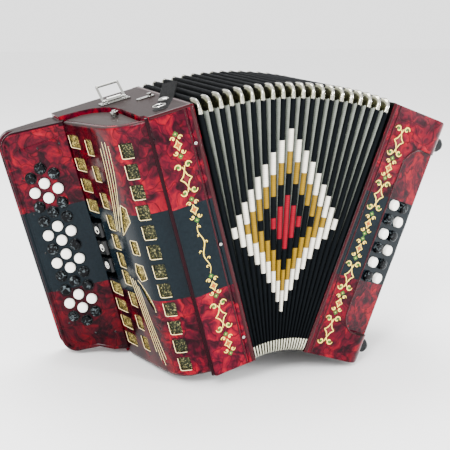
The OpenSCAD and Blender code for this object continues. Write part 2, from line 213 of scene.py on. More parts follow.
def pearl(name, place, band, ends=False, low=1.0, high=1.0, side=1.0, shaded_face=0):
    """Red pearl celluloid with a black middle band.

    ends gives the end faces their dark laminate. low and high scale the brightness of the bottom and the
    top as painted light and shade, and side scales that of the part that runs back as painted shade. The last
    argument, 1 or -1, blackens the face turned that way along the casing's first axis: painted shade at the
    bellows.
    """
    s = Shader(name, place)
    warp = s.vector("SUBTRACT", s.noise(s.at, 0.035, 2, part="Color"), (0.5, 0.5, 0.5))
    moved = s.vector("ADD", s.at, s.scale(warp, 40))
    flakes = s.split(s.cells(moved, 0.06, part="Color"))[0]
    clouds = s.noise(moved, 0.045, 4, 0.8)
    streaks = s.noise(s.vector("MULTIPLY", moved, (1, 1, 0.5)), 0.16, 6, 1.2)
    level = s.mad(flakes, 0.22, clouds)
    level = s.mad(streaks, 0.42, s.math("SUBTRACT", level, 0.26))
    level = s.mad(s.cells(moved, 0.11), 0.22, s.math("SUBTRACT", level, 0.09))
    reds = s.ramp(level, [
        (0.28, (0.005, 0.0004, 0.0015)), (0.42, (0.018, 0.0008, 0.004)), (0.54, (0.052, 0.0010, 0.007)),
        (0.66, (0.105, 0.0010, 0.008)), (0.80, (0.20, 0.0005, 0.0075)), (0.95, (0.25, 0.0012, 0.014))])
    edge = s.cells(moved, 0.06, "DISTANCE_TO_EDGE")
    vein = s.times(s.steps(edge, 0.06, 0.0), s.steps(streaks, 0.36, 0.50))
    reds = s.mix(s.times(vein, 0.8), reds, (0.005, 0.0003, 0.0012, 1))
    slate = s.ramp(s.noise(s.at, 0.4, 4), [(0.3, (0.0015, 0.004, 0.006)), (0.8, (0.004, 0.008, 0.011))])
    w = s.split(s.at)[2]
    # Painted light and shade: brighter or darker towards the bottom and the top, and darker where the casing runs
    # back (y 26 to 48 mm).
    reds = s.scale(reds, s.mad(s.steps(w, 40, 250), high - low, low))
    reds = s.scale(reds, s.mad(s.steps(s.split(s.at)[1], 26, 48), side - 1, 1))
    black = s.times(s.math("GREATER_THAN", w, band[0]), s.math("LESS_THAN", w, band[1]))
    colour = s.mix(black, reds, slate)
    gloss = 0.075
    shine = s.mad(s.noise(s.at, 0.25, 3), 0.10, 0.08)
    s.bump(s.noise(s.at, 0.02, 1), 0.0012, 0.25, rounding=0.0013)
    if ends:
        up = tuple(place.to_3x3().col[2].normalized())
        facing = s.vector("DOT_PRODUCT", s.normal, up)
        lid = s.steps(s.math("ABSOLUTE", facing), 0.93, 0.97)
        colour = s.mix(lid, colour, (0.015, 0.009, 0.009, 1))
        gloss = s.mad(lid, 0.02 - gloss, gloss)
        shine = s.mad(lid, 0.25, shine)
    # Painted shade: the frame's face towards the bellows is blackened, standing for the shade in the gap there.
    if shaded_face:
        along = tuple(place.to_3x3().col[0].normalized() * shaded_face)
        turned = s.steps(s.vector("DOT_PRODUCT", s.normal, along), 0.90, 0.95)
        colour = s.mix(turned, colour, (0.002, 0.002, 0.002, 1))
    return s.finish(Base_Color=colour, Roughness=shine, Specular_IOR_Level=gloss)


def leather(name, colour, grain=1.0, gloss=0.15):
    s = Shader(name)
    pores = s.cells(s.at, 0.9 * grain, "DISTANCE_TO_EDGE")
    folds = s.noise(s.at, 0.5 * grain, 5)
    tone = s.mix(s.noise(s.at, 0.08, 3), (*colour, 1), (*[c * 1.9 for c in colour], 1))
    s.bump(s.mad(folds, 0.6, s.steps(pores, 0.0, 0.35)), 0.00035, 0.7)
    rough = s.mad(folds, 0.2, 0.33)
    return s.finish(Base_Color=tone, Roughness=rough, Specular_IOR_Level=gloss)


def metal(name, colour, rough, wear, flank=None):
    """Plated metal; flank is a painted shade colour for the faces turned along X, the shade inside a folded
    corner.
    """
    s = Shader(name)
    marks = s.noise(s.at, 0.7, 5, 0.4)
    wear_and_shade = s.mix(s.steps(marks, 0.55, 0.8), (*colour, 1), (*[c * wear for c in colour], 1))
    # Painted shade: faces turned along X take the darker flank colour.
    if flank:
        aside = s.math("ABSOLUTE", s.split(s.normal)[0])
        wear_and_shade = s.mix(s.steps(aside, 0.45, 0.85), wear_and_shade, (*flank, 1))
    s.bump(marks, 0.0002, 0.15, rounding=0.0004)
    return s.finish(Base_Color=wear_and_shade, Metallic=1.0, Roughness=s.mad(marks, 0.16, rough))


def cloth(name, colour, weave, gloss=0.0, shine=0.06, low=1.0):
    """Book cloth; weave is threads per millimetre, low is painted shade that darkens it towards the floor, and
    faces turned along X get painted shade.
    """
    s = Shader(name)
    x, y, z = s.split(s.at)
    warp = s.math("SINE", s.times(s.math("ADD", x, y), weave * math.tau))
    weft = s.math("SINE", s.times(z, weave * math.tau))
    thread = s.times(warp, weft)
    fade = s.noise(s.at, 0.15, 4)
    tone = s.mix(s.steps(fade, 0.3, 0.75), (*[c * 0.78 for c in colour], 1), (*colour, 1))
    ribs_and_shade = s.mad(s.math("SINE", s.times(z, 0.45 * math.tau)), 0.09, 0.91)
    # Painted shade: darker towards the floor, by low.
    depth = s.mad(s.steps(z, 150, 300), 1.0 - low, low)
    # Painted shade on faces turned along X, so the tapes shade like tubes; it is multiplied into the ribbing.
    aside = s.steps(s.math("ABSOLUTE", s.split(s.normal)[0]), 0.2, 0.9)
    ribs_and_shade = s.times(ribs_and_shade, s.mad(aside, -0.6, 1.0))
    tone = s.scale(tone, s.times(ribs_and_shade, depth))
    s.bump(thread, 0.0001, 0.55)
    return s.finish(
        Base_Color=tone, Roughness=s.mad(fade, 0.25, 0.5 - gloss), Specular_IOR_Level=shine)


def glitter(name):
    """Gold glitter cloth with painted light: bright where the grille runs back and painted shade behind its front.
    """
    s = Shader(name, TREBLE)
    grain = s.split(s.cells(s.at, 1.0, part="Color"))
    grit = s.split(s.cells(s.at, 0.7, part="Color"))
    spark = s.mad(grain[0], 0.6, s.times(grit[1], 0.4))
    # Painted light and shade: a bright copy of the glitter where the grille runs back, a dark shaded copy at the
    # front.
    turned = s.steps(s.split(s.at)[1], 36, 46)
    bright = s.ramp(spark, [
        (0.22, (0.004, 0.003, 0.001)), (0.45, (0.040, 0.030, 0.006)), (0.64, (0.15, 0.11, 0.022)),
        (0.84, (0.62, 0.48, 0.14))])
    dark = s.ramp(spark, [
        (0.30, (0.002, 0.003, 0.002)), (0.55, (0.012, 0.015, 0.008)), (0.72, (0.05, 0.05, 0.02)),
        (0.92, (0.24, 0.21, 0.09))])
    s.bump(grain[2], 0.0005, 0.8)
    colour = s.mix(turned, dark, bright)
    return s.finish(Base_Color=colour, Metallic=0.15, Roughness=0.5, Specular_IOR_Level=0.1)


def plastic(name, colour, marble_and_glints=None, rough=0.2, round_edge=0.0, gloss=0.15):
    """Moulded plastic; the second colour is mixed in as clouds, marbling that also serves as painted reflection
    patches.
    """
    s = Shader(name)
    tone = s.mix(s.noise(s.at, 0.3, 3), (*colour, 1), (*[min(1, c * 1.12) for c in colour], 1))
    if marble_and_glints:
        clouds = s.steps(s.noise(s.at, 0.20, 3, 1.4), 0.54, 0.78)
        tone = s.mix(clouds, tone, (*marble_and_glints, 1))
    s.bump(s.noise(s.at, 1.2, 3), 0.00005, 0.3, rounding=round_edge)
    return s.finish(
        Base_Color=tone, Roughness=s.mad(s.noise(s.at, 0.5), 0.12, rough),
        Specular_IOR_Level=gloss)


def wood(name):
    s = Shader(name)
    rings = s.noise(s.vector("MULTIPLY", s.at, (1, 1, 0.08)), 0.5, 4, 0.5)
    tone = s.ramp(rings, [(0.3, (0.42, 0.25, 0.11)), (0.7, (0.66, 0.45, 0.24))])
    s.bump(rings, 0.0003, 0.4)
    return s.finish(Base_Color=tone, Roughness=0.55)


def floor_paint():
    s = Shader("floor_paint")
    tone = s.mix(s.noise(s.at, 0.004, 2), (0.93, 0.93, 0.93, 1), (0.95, 0.95, 0.95, 1))
    return s.finish(Base_Color=tone, Roughness=0.6)


# low, high and side on these pearls are painted light and shade, set to how the light falls on each part.
PEARL_T = pearl("pearl_treble", TREBLE, BAND, ends=True, low=1.25)
PEARL_BOARD = pearl("pearl_board", TREBLE, BOARD_BAND, ends=True, low=0.38, high=0.9)
PEARL_GRILLE = pearl("pearl_grille", TREBLE, BAND, side=0.32)
PEARL_B = pearl("pearl_bass", BASS, BAND, ends=True, low=0.85, high=0.92)
PEARL_FRAME_T = pearl("pearl_treble_frame", TREBLE, BAND, ends=True, shaded_face=1)
PEARL_FRAME_B = pearl("pearl_bass_frame", BASS, BAND, ends=True, low=0.85, shaded_face=-1)
CHROME = metal("chrome", (0.34, 0.34, 0.32), 0.04, 0.45)
# NICKEL's flank colour is painted shade on the sides of the bellows corners.
NICKEL = metal("nickel_corner", (0.56, 0.55, 0.44), 0.16, 0.5, flank=(0.20, 0.20, 0.14))
GILT = plastic("gilt_line", (0.86, 0.60, 0.085), rough=0.3)
# CREAM is the painted highlight along the grille's cut edges.
CREAM = plastic("cream_edge", (0.86, 0.70, 0.34))
ROLLED = plastic("rolled_edge", (0.008, 0.0004, 0.0018), rough=0.05, gloss=0.06)
LIT_EDGE = plastic("lit_edge", (0.022, 0.0004, 0.002), rough=0.04, gloss=0.16)
GREEN = plastic("green_enamel", (0.030, 0.090, 0.014))
RUBY = plastic("ruby_enamel", (0.085, 0.004, 0.010))
AMBER = plastic("amber_enamel", (0.30, 0.075, 0.006))
IVORY = plastic("ivory_button", (0.94, 0.91, 0.83), rough=0.25)
# The grey clouds on the jet buttons are partly their marbling and partly painted reflection patches.
JET = plastic("jet_button", (0.0008, 0.001, 0.0015), marble_and_glints=(0.12, 0.15, 0.16), rough=0.06, gloss=0.07)
BLACK = plastic("black_plastic", (0.002, 0.0025, 0.003), rough=0.1, round_edge=0.0008, gloss=0.25)
LEATHER = leather("black_leather", (0.0010, 0.0012, 0.0014), gloss=0.02)
STITCH = cloth("stitch_thread", (0.030, 0.030, 0.030), 2.5)
TAPE = cloth("black_tape", (0.0026, 0.0036, 0.0046), 0.9, shine=0.02)
# VALLEY's low is painted shade, darker low down in the bellows' valleys.
VALLEY = cloth("silver_cloth", (0.74, 0.80, 0.70), 1.2, gloss=0.1, low=0.12)
WHITE_TAPE = cloth("white_tape", (0.95, 0.90, 0.76), 0.9, gloss=0.05)
GOLD_TAPE = cloth("gold_tape", (0.25, 0.145, 0.006), 0.9, gloss=0.1)
RED_TAPE = cloth("red_tape", (0.23, 0.0006, 0.012), 0.9, gloss=0.05)
RUBBER = leather("rubber", (0.006, 0.007, 0.008), 2.0)
GLITTER = glitter("glitter_cloth")
SPRUCE = wood("spruce")
END_GREY = plastic("end_laminate", (0.026, 0.019, 0.018), rough=0.35, gloss=0.03)


# ---------- mesh tools ----------
def put(name, data):
    """A new object in the scene."""
    thing = bpy.data.objects.new(name, data)
    bpy.context.scene.collection.objects.link(thing)
    return thing


def make(name, bm, materials, body=None, place=None, stands_for=(), sharp=35):
    """Turns bm into a piece that rides on body. place maps bm's own coordinates to the row frame."""
    if place is not None:
        bm.transform(place)
    bmesh.ops.recalc_face_normals(bm, faces=bm.faces)
    mesh = bpy.data.meshes.new(name)
    bm.to_mesh(mesh)
    bm.free()
    mesh.shade_smooth()
    mesh.set_sharp_from_angle(angle=math.radians(sharp))
    for material in materials:
        mesh.materials.append(material)
    piece = put(name, mesh)
    if body:
        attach(piece, body)
    if stands_for:
        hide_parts(*stands_for)
    return piece


def join(bm, a, b, material=0):
    """A band of faces between two closed rings of vertices."""
    for k in range(len(a)):
        n = (k + 1) % len(a)
        bm.faces.new((a[k], a[n], b[n], b[k])).material_index = material


def sweep(bm, path, up, wide, high, sides, closed=False, taper=0.0, material=0):
    """Sweeps an ellipse (half width wide, half height high along up) along path. taper thins both ends."""
    path = [Vector(p) for p in path]
    up = Vector(up)
    rings = []
    last = len(path) - 1
    for i, p in enumerate(path):
        before = path[i - 1] if i or closed else p
        after = path[(i + 1) % len(path)] if i < last or closed else p
        along = (after - before).normalized()
        side = along.cross(up).normalized()
        top = side.cross(along)
        thin = 1 - taper * abs(2 * i / last - 1) ** 2 if taper else 1
        turns = [math.tau * k / sides for k in range(sides)]
        offsets = [(math.cos(t) * wide * thin, math.sin(t) * high * thin) for t in turns]
        rings.append([bm.verts.new(p + side * a + top * b) for a, b in offsets])
    for a, b in zip(rings, rings[1:] + rings[:1] if closed else rings[1:]):
        join(bm, a, b, material)
    if not closed:
        bm.faces.new(rings[0][::-1]).material_index = material
        bm.faces.new(rings[-1]).material_index = material


def arc(cx, cy, radius, start, stop, steps):
    """Points of an arc in a plane, angles in degrees."""
    angles = [math.radians(start + (stop - start) * k / steps) for k in range(steps + 1)]
    return [(cx + radius * math.cos(a), cy + radius * math.sin(a)) for a in angles]


def circle(cx, cy, radius):
    """24 points, evenly spaced."""
    return arc(cx, cy, radius, 0, 345, 23)


def between(p0, p1, p2, p3, t):
    """Catmull-Rom curve from p1 to p2, at share t."""
    return 0.5 * (2 * p1 + (p2 - p0) * t + (2 * p0 - 5 * p1 + 4 * p2 - p3) * t * t
                  + (3 * p1 - p0 - 3 * p2 + p3) * t ** 3)


def rounded_box(x0, y0, x1, y1, r, steps):
    return (arc(x1 - r, y1 - r, r, 0, 90, steps) + arc(x0 + r, y1 - r, r, 90, 180, steps)
            + arc(x0 + r, y0 + r, r, 180, 270, steps) + arc(x1 - r, y0 + r, r, 270, 360, steps))


def plate(outlines, thickness, bevel=0.0, bevel_steps=1):
    """A flat plate in x and y, from z 0 to thickness; later outlines are holes in the first."""
    data = bpy.data.curves.new("plate_outline", "CURVE")
    data.dimensions = "2D"
    data.fill_mode = "BOTH"
    data.extrude = thickness / 2 - bevel
    data.bevel_depth = bevel
    data.bevel_resolution = bevel_steps
    data.offset = -bevel
    for points in outlines:
        spline = data.splines.new("POLY")
        spline.points.add(len(points) - 1)
        for point, (x, y) in zip(spline.points, points):
            point.co = (x, y, 0, 1)
        spline.use_cyclic_u = True
    flat = put("plate_outline", data)
    bpy.context.view_layer.update()
    bm = bmesh.new()
    bm.from_mesh(flat.evaluated_get(bpy.context.evaluated_depsgraph_get()).to_mesh())
    bpy.data.objects.remove(flat)
    bmesh.ops.translate(bm, verts=bm.verts, vec=(0, 0, thickness / 2))
    bmesh.ops.remove_doubles(bm, verts=bm.verts, dist=0.001)
    return bm


# A drawing in x and y, seen from the front, lies in a casing's front face
FACE_ON = Matrix(((1, 0, 0, 0), (0, 0, -1, 0), (0, 1, 0, 0), (0, 0, 0, 1)))


# ---------- treble buttons, board and registers ----------
BUTTON_R = 6.2
DOME = 0.9
HOLE_R = 6.75
BUTTON_SIDES = 32


def button(name, node, material, place, x, z, tall=5.5):
    """A domed button at (x, z) of place's front plane, in its own millimetres, riding on its node's body."""
    bm = bmesh.new()
    top = -tall
    profile = [(BUTTON_R - 0.1, 2.0), (BUTTON_R, 0.5), (BUTTON_R, top + 1.7), (BUTTON_R - 0.25, top + DOME)]
    profile += [(BUTTON_R * f, top + DOME * f ** 3 * 0.8) for f in (0.86, 0.72, 0.5, 0.25)]
    turns = [math.tau * k / BUTTON_SIDES for k in range(BUTTON_SIDES)]
    rings = []
    for r, y in profile:
        rings.append([bm.verts.new((x + r * math.cos(t), y, z + r * math.sin(t))) for t in turns])
    for a, b in zip(rings, rings[1:]):
        join(bm, a, b)
    tip = bm.verts.new((x, top, z))
    for k in range(BUTTON_SIDES):
        bm.faces.new((rings[-1][k], rings[-1][(k + 1) % BUTTON_SIDES], tip))
    bm.faces.new(rings[0])
    make(name, bm, [material], node, place, [node], sharp=50)


PITCH = 18
ROW_GAP = 13.9
TOP_BUTTON = 257.1
WHITE_BUTTONS = {"middle": (2, 3, 5, 6, 7, 8, 10, 11), "outer": (2, 5, 7, 10), "inner": (2, 5, 7, 10)}
ROWS = {"outer": (-1, 11), "middle": (0, 12), "inner": (1, 11)}


def button_height(row, i):
    return TOP_BUTTON - PITCH * (i if row == 0 else i + 0.5)


def treble_buttons():
    for name, (row, count) in ROWS.items():
        for i in range(count):
            node = f"button_{name}_{i + 1:02d}"
            material = IVORY if i + 1 in WHITE_BUTTONS[name] else JET
            button(node + "_cap", node, material, BOARD, row * ROW_GAP, button_height(row, i))


def button_shadow_rings():
    """Black rings round the treble buttons: painted shade where each button stands in its hole."""
    bm = bmesh.new()
    for row, count in ROWS.values():
        for i in range(count):
            centre = Vector((row * ROW_GAP, -1.75, button_height(row, i)))
            ring = [centre + Vector((x, 0, z)) for x, z in circle(0, 0, HOLE_R)]
            sweep(bm, ring, INWARD, 0.45, 0.5, 6, closed=True)
    make("button_shadow_rings", bm, [BLACK], "treble", BOARD)


PLATE_SCREWS = [(-23, 250), (-23, 205), (-24, 155), (-24, 105), (-22, 60), (4, 281), (30, 281), (6, 40),
                (30, 36)]


def button_plate():
    """The raised plate round the treble buttons, with a hole for each and its rim screws."""
    holes = []
    for row, count in ROWS.values():
        holes += [circle(row * ROW_GAP, button_height(row, i), HOLE_R) for i in range(count)]
    outline = ([(40, 290), (-14, 284)] + arc(-14, 268, 16, 95, 180, 8) + [(-30, 46)]
               + arc(-18, 46, 12, 180, 262, 6) + [(8, 31), (40, 24)])
    bm = plate([outline, *holes], 1.5, 0.5, 2)
    make("button_plate", bm, [PEARL_BOARD], "treble", BOARD @ FACE_ON)
    bm = bmesh.new()
    for x, z in PLATE_SCREWS:
        spot = arc(0, 0, 1.3, 0, 324, 9)
        low = [bm.verts.new((x + a, -1.5, z + b)) for a, b in spot]
        high = [bm.verts.new((x + a * 0.6, -1.95, z + b * 0.6)) for a, b in spot]
        join(bm, low, high)
        bm.faces.new(high)
    make("plate_screws", bm, [BLACK], "treble", BOARD)


REGISTER_W = (109, 188)
REGISTER_S = 120
REGISTER_PITCH = 22.7
ROCKER_FACE = ((-113.2, 131.5), (-108.6, 119.5))


def register_marks():
    """The dotted ring on each rocker, the usual sign for a set of reeds."""
    up = Vector(UP)
    for i in range(3):
        w = sum(REGISTER_W) / 2 + REGISTER_PITCH * (1 - i)
        bm = bmesh.new()
        start, stop = (Vector((*end, w)) for end in ROCKER_FACE)
        across = (stop - start).normalized()
        out = across.cross(up)
        middle = (start + stop) / 2 + out * 0.12
        ring = [middle + across * (3.2 * c) + up * (4.2 * s) for c, s in circle(0, 0, 1)]
        sweep(bm, ring, out, 0.32, 0.22, 6, closed=True)
        bar = [middle - across * 3.0 + up * 0.9, middle + across * 3.0 + up * 0.9]
        sweep(bm, bar, out, 0.25, 0.2, 6)
        for k in range(i + 1):
            spot = middle + up * (2.4 - 2.2 * k)
            sweep(bm, [spot - across * 0.7, spot + across * 0.7], out, 0.6, 0.25, 8)
        make(f"register_mark_{i + 1}", bm, [IVORY], f"register_{i + 1}", TREBLE)


def board_moulding():
    """Rolled edge round the keyboard end of the treble casing."""
    bm = bmesh.new()
    rim = [(35.0, 301.6)] + [(-19.6 + x, y) for x, y in arc(0, 286, 15.6, 90, 180, 8)]
    rim += [(-35.2, 180), (-35.2, 90)] + [(-19.6 + x, y) for x, y in arc(0, 38, 15.6, 180, 268, 8)]
    rim += [(5, 22.4), (22, 14.4), (37, 12)]
    sweep(bm, [(x, 0.9, z) for x, z in rim], INWARD, 2.3, 2.2, 10)
    make("board_moulding", bm, [PEARL_BOARD], "treble", BOARD)


# ---------- grille ----------
KNOTS = [(-52.3, 10), (-62, 13.5), (-72, 18), (-80, 24), (-87, 33.5), (-92.5, 48), (-97, 66), (-101, 85),
         (-106, 107), (-112, 133.6)]
GRILLE_T = 1.5
GRILLE_W = (2.0, 304.0)
LIP = 4.0


def running(points):
    """Distance along a chain of points, at each of them."""
    total = [0.0]
    for a, b in zip(points, points[1:]):
        total.append(total[-1] + math.dist(a, b))
    return total


KNOT_S = running(KNOTS)
GRILLE_S = KNOT_S[-1]


def on_profile(s):
    """The grille's profile at distance s, as a smooth curve through the knots."""
    s = min(max(s, 0.0), GRILLE_S)
    i = max(k for k in range(len(KNOTS) - 1) if s >= KNOT_S[k] - 1e-9)
    near = [Vector(KNOTS[min(max(k, 0), len(KNOTS) - 1)]) for k in (i - 1, i, i + 1, i + 2)]
    return between(*near, (s - KNOT_S[i]) / (KNOT_S[i + 1] - KNOT_S[i]))


def on_grille(s, w, out=0.0):
    """Point out millimetres in front of the grille's face, and the way it faces."""
    here = on_profile(s)
    along = (on_profile(min(s + 0.5, GRILLE_S)) - on_profile(max(s - 0.5, 0))).normalized()
    facing = Vector((-along.y, along.x))
    over = max(0.0, w - (GRILLE_W[1] - LIP), GRILLE_W[0] + LIP - w)
    drop = LIP - math.sqrt(max(0.0, LIP * LIP - over * over))
    flat = here + facing * (out - drop)
    return Vector((flat.x, flat.y, w)), Vector((facing.x, facing.y, 0))


def leaf(a, b, wide, bow=0.0):
    """A slot from a to b, pointed at both ends; bow pushes its middle sideways."""
    a, b = Vector(a), Vector(b)
    side = Vector((b.y - a.y, a.x - b.x)).normalized()
    shares = [k / 8 for k in range(9)]
    middle = [a.lerp(b, t) + side * bow * math.sin(math.pi * t) for t in shares]
    spread = [wide / 2 * max(0.08, math.sin(math.pi * t) ** 0.6) for t in shares]
    left = [p + side * d for p, d in zip(middle, spread)]
    right = [p - side * d for p, d in zip(middle, spread)]
    return [tuple(p) for p in left + right[::-1]]


def window(s, w, wide, tall):
    return rounded_box(s - wide / 2, w - tall / 2, s + wide / 2, w + tall / 2, 1.6, 3)


FRONT_ROW = [(27, 276.4 - 23.4 * i, 15, 17) for i in range(12)]
SIDE_ROW = [(95.2, w, 15, 18.5) for w in (277.6, 246.6, 214.5, 187.8, 164.1, 140.8, 118.4, 90.6, 59.6, 31.6)]
BACK_ROW = [(129.5, w, 22, 15.5) for w in (281.5, 254, 228.5, 203.5, 97, 74, 51, 28)]
UPPER_SHEAF = [leaf((69, 279), (86, 181), 3.9, 1.5), leaf((62, 287), (83, 180), 3.3, 2.5),
               leaf((56, 287), (78.5, 179), 3.0, 3.0), leaf((51.5, 283), (70, 200), 2.4, 3.2)]
LOWER_SHEAF = [leaf((86, 122), (72, 27), 3.9, -1.5), leaf((80.5, 121), (65, 18), 3.3, -2.0),
               leaf((75.5, 119), (58.5, 13), 3.0, -2.5), leaf((71, 113), (54, 22), 2.4, -2.5)]
LEAVES = [[(60, 214), (51, 211), (49.5, 195), (62, 184), (72, 176), (66.5, 195)],
          leaf((63.5, 212), (72.5, 186), 3.0), leaf((68.5, 121), (48.5, 84), 7.5, 1.5)]
RHOMBS = [window(54.5, 163.5, 13, 17), [(63, 143), (49, 142), (47.5, 126), (60, 121), (66.5, 131)]]
WINDOWS = FRONT_ROW + SIDE_ROW + BACK_ROW
SHEAVES = UPPER_SHEAF + LOWER_SHEAF


def grille_outline():
    """The sheet's outline in s and w, with the register window let into its outer edge."""
    low, high = GRILLE_W
    sill, lintel = REGISTER_W
    return [(0, low), (GRILLE_S, low), (GRILLE_S, sill), (REGISTER_S, sill), (REGISTER_S, lintel),
            (GRILLE_S, lintel), (GRILLE_S, high), (0, high)]


def grille():
    """The pierced cover: a flat sheet is cut, doubled, and bent onto the profile."""
    holes = [window(*row) for row in WINDOWS] + SHEAVES + LEAVES + RHOMBS
    thin = 0.02
    sheet = plate([grille_outline(), *holes], thin)
    lower = [f for f in sheet.faces if f.calc_center_median().z < thin * 0.75]
    bmesh.ops.delete(sheet, geom=lower, context="FACES")
    loose = [v for v in sheet.verts if not v.link_faces]
    bmesh.ops.delete(sheet, geom=loose, context="VERTS")
    cuts = [((s, 0, 0), (1, 0, 0)) for s in range(3, int(GRILLE_S), 3)]
    heights = (*range(30, 300, 30), 2.4, 3, 4, 5, 6, 300, 301, 302, 303, 303.6)
    cuts += [((0, w, 0), INWARD) for w in heights]
    for co, no in cuts:
        geom = sheet.verts[:] + sheet.edges[:] + sheet.faces[:]
        bmesh.ops.bisect_plane(sheet, geom=geom, plane_co=co, plane_no=no, dist=0.0005)
    backs = {v: sheet.verts.new(on_grille(v.co.x, v.co.y, -GRILLE_T)[0]) for v in sheet.verts[:]}
    rims = [edge for edge in sheet.edges if edge.is_boundary]
    for face in sheet.faces[:]:
        sheet.faces.new([backs[v] for v in reversed(face.verts[:])])
    for edge in rims:
        a, b = edge.verts
        sheet.faces.new((a, b, backs[b], backs[a]))
    for v in backs:
        v.co = on_grille(v.co.x, v.co.y)[0]
    node = "treble_grille"
    make("grille_shell", sheet, [PEARL_GRILLE], "treble", TREBLE, [node], sharp=40)


def grille_ends():
    """Flat ends of the grille cover, and the walls of the register window."""
    inner = [(-106, 140), (-88, 141.5), (-76, 134), (-66.5, 120), (-60, 102), (-57, 84), (-56.5, 16)]
    rim = [tuple(on_profile(s) + Vector((0.6, 0.9))) for s in range(0, int(GRILLE_S), 4)]
    for name, low in (("grille_foot", 2.6), ("grille_head", 301.0)):
        bm = plate([rim + inner], 2.5, 0.4)
        place = TREBLE @ Matrix.Translation((0, 0, low))
        make(name, bm, [END_GREY], "treble", place)
    bm = bmesh.new()
    shelf = [tuple(on_profile(s)) for s in (119, 128, 137, 146)] + [(-106, 140), (-97, 141), (-97, 112)]
    wall = [(-99, 116), (-99, 141), (-96, 141), (-96, 116)]
    for shape, low, high in ((shelf, 106, 109), (shelf, 188, 191), (wall, 106, 191)):
        ends = [[bm.verts.new((x, y, w)) for x, y in shape] for w in (low, high)]
        join(bm, *ends)
        for end in ends:
            bm.faces.new(end)
    make("register_housing", bm, [BLACK], "treble", TREBLE)


def grille_highlight_edges():
    """Pale cut edges on the left and lower side of every opening: painted highlights, where the light catches
    them.
    """
    bm = bmesh.new()

    def line(points, thick):
        path = []
        for (s0, w0), (s1, w1) in zip(points, points[1:]):
            steps = max(1, int(math.dist((s0, w0), (s1, w1)) / 4))
            path += [(s0 + (s1 - s0) * k / steps, w0 + (w1 - w0) * k / steps) for k in range(steps)]
        path.append(points[-1])
        up = on_grille(*path[len(path) // 2])[1]
        sweep(bm, [on_grille(s, w, 0.05)[0] for s, w in path], up, thick, 0.3, 6)

    for s, w, wide, tall in WINDOWS:
        left, low = s + wide / 2, w - tall / 2
        line([(left, w + tall / 2 - 1), (left, low + 1.5), (left - 0.5, low + 0.5), (left - 1.5, low),
              (s - wide / 2 + 1, low)], 0.36)
    for shape in SHEAVES + LEAVES[1:]:
        line(shape[:len(shape) // 2], 0.2)
    for shape in (LEAVES[0], *RHOMBS):
        line(shape + shape[:1], 0.3)
    make("grille_highlight_edges", bm, [CREAM], "treble", TREBLE)


CLOTH_W = (7.0, 299.0)
CLOTH_CUT_W = (104.0, 193.0)
CLOTH_CUT_S = 116.0


def glitter_backing():
    """The glitter cloth glued behind the grille, cut away round the registers."""
    first, last = 5.0, GRILLE_S - 3
    (foot, head), (sill, lintel) = CLOTH_W, CLOTH_CUT_W
    bm = bmesh.new()
    spans = [first + (last - first) * k / 40 for k in range(41)]
    for low, high, end in ((foot, sill, last), (sill, lintel, CLOTH_CUT_S), (lintel, head, last)):
        heights = (low, (low + high) / 2, high)
        kept = [s for s in spans if s <= end]
        rows = [[bm.verts.new(on_grille(s, w, -GRILLE_T - 0.5)[0]) for w in heights] for s in kept]
        for a, b in zip(rows, rows[1:]):
            for k in range(2):
                bm.faces.new((a[k], a[k + 1], b[k + 1], b[k]))
    bmesh.ops.remove_doubles(bm, verts=bm.verts, dist=0.01)
    piece = make("glitter_backing", bm, [GLITTER], "treble", TREBLE, ["grille_cloth"])


# ---------- front strip: beads and ornaments ----------
def bead(bm, points, out, radius):
    sweep(bm, points, out, radius, radius, 12)


def strip_beads():
    """Half-round mouldings along the fronts and top edges of both casings and frames."""
    heights = (1, 2, 100, 204, 306, 307)
    depths = (2, 60, 120, 186)
    top = BODY_H - 1.4
    slant = math.cos(math.radians(BASS_TURN))
    ledge = [(60, 268)] + arc(24, 244, 24, 90, 180, 8) + arc(24, 59, 24, 180, 270, 8) + [(60, 35)]
    ledge = [(BASS_FOLD + x * slant, 1.2, w) for x, w in ledge if x * slant < BASS_W - 28 - BASS_FOLD]
    brow = [(u, 1.6, top) for u in (-50, -40, -20, -3)]
    for side, body, place, last in ((-1, "treble", TREBLE, (brow, 2.0)), (1, "bass", BASS, (ledge, 1.1))):
        bm = bmesh.new()
        bead(bm, [(side * 2.6, 0.9, w) for w in heights], INWARD, 2.3)
        bead(bm, [(side * 10.6, 1.2, w) for w in heights], INWARD, 0.9)
        bead(bm, [(side * 2.6, y, top) for y in depths], UP, 2.0)
        bead(bm, last[0], INWARD, last[1])
        make(f"{body}_beads", bm, [LIT_EDGE], body, place)
    outer = [(-STRIP_W - 0.4, 5.2, w) for w in heights]
    lip = [(40, 301.8), (-19.6, 301.8)] + arc(-19.6, 286, 15.8, 90, 180, 8) + [(-35.4, 60)]
    lip = [(x, 1.4, z) for x, z in lip]
    for name, points, place in (("strip_bead", outer, TREBLE), ("board_lip", lip, BOARD)):
        bm = bmesh.new()
        bead(bm, points, INWARD, 2.6)
        make(name, bm, [ROLLED], "treble", place)


def spiral(cx, cy, size, start, turn):
    """A curl that winds in towards its centre."""
    points = []
    for k in range(15):
        share = k / 14
        r = size * (1 - 0.72 * share)
        a = math.radians(start + turn * share)
        points.append((cx + r * math.cos(a), cy + r * math.sin(a)))
    return points


def concave_diamond(half_w, half_h):
    """A diamond whose sides are drawn in."""
    corners = [(0, half_h), (-half_w, 0), (0, -half_h), (half_w, 0)]
    points = []
    for k, a in enumerate(corners):
        b = corners[(k + 1) % 4]
        for n in range(5):
            t = n / 5
            x, y = a[0] + (b[0] - a[0]) * t, a[1] + (b[1] - a[1]) * t
            shrink = 1 - 0.45 * math.sin(math.pi * t) * 0.55
            points.append((x * shrink, y * shrink))
    return points


def disc(bm, cx, cy, r, material, lift=0.0, squeeze=1.0):
    """A low cone; squeeze stretches it along y."""
    spot = [bm.verts.new((cx + x * r, cy + y * r * squeeze, 0.05)) for x, y in arc(0, 0, 1, 0, 330, 11)]
    tip = bm.verts.new((cx, cy, 0.35 + lift))
    for k in range(12):
        bm.faces.new((spot[k], spot[(k + 1) % 12], tip)).material_index = material


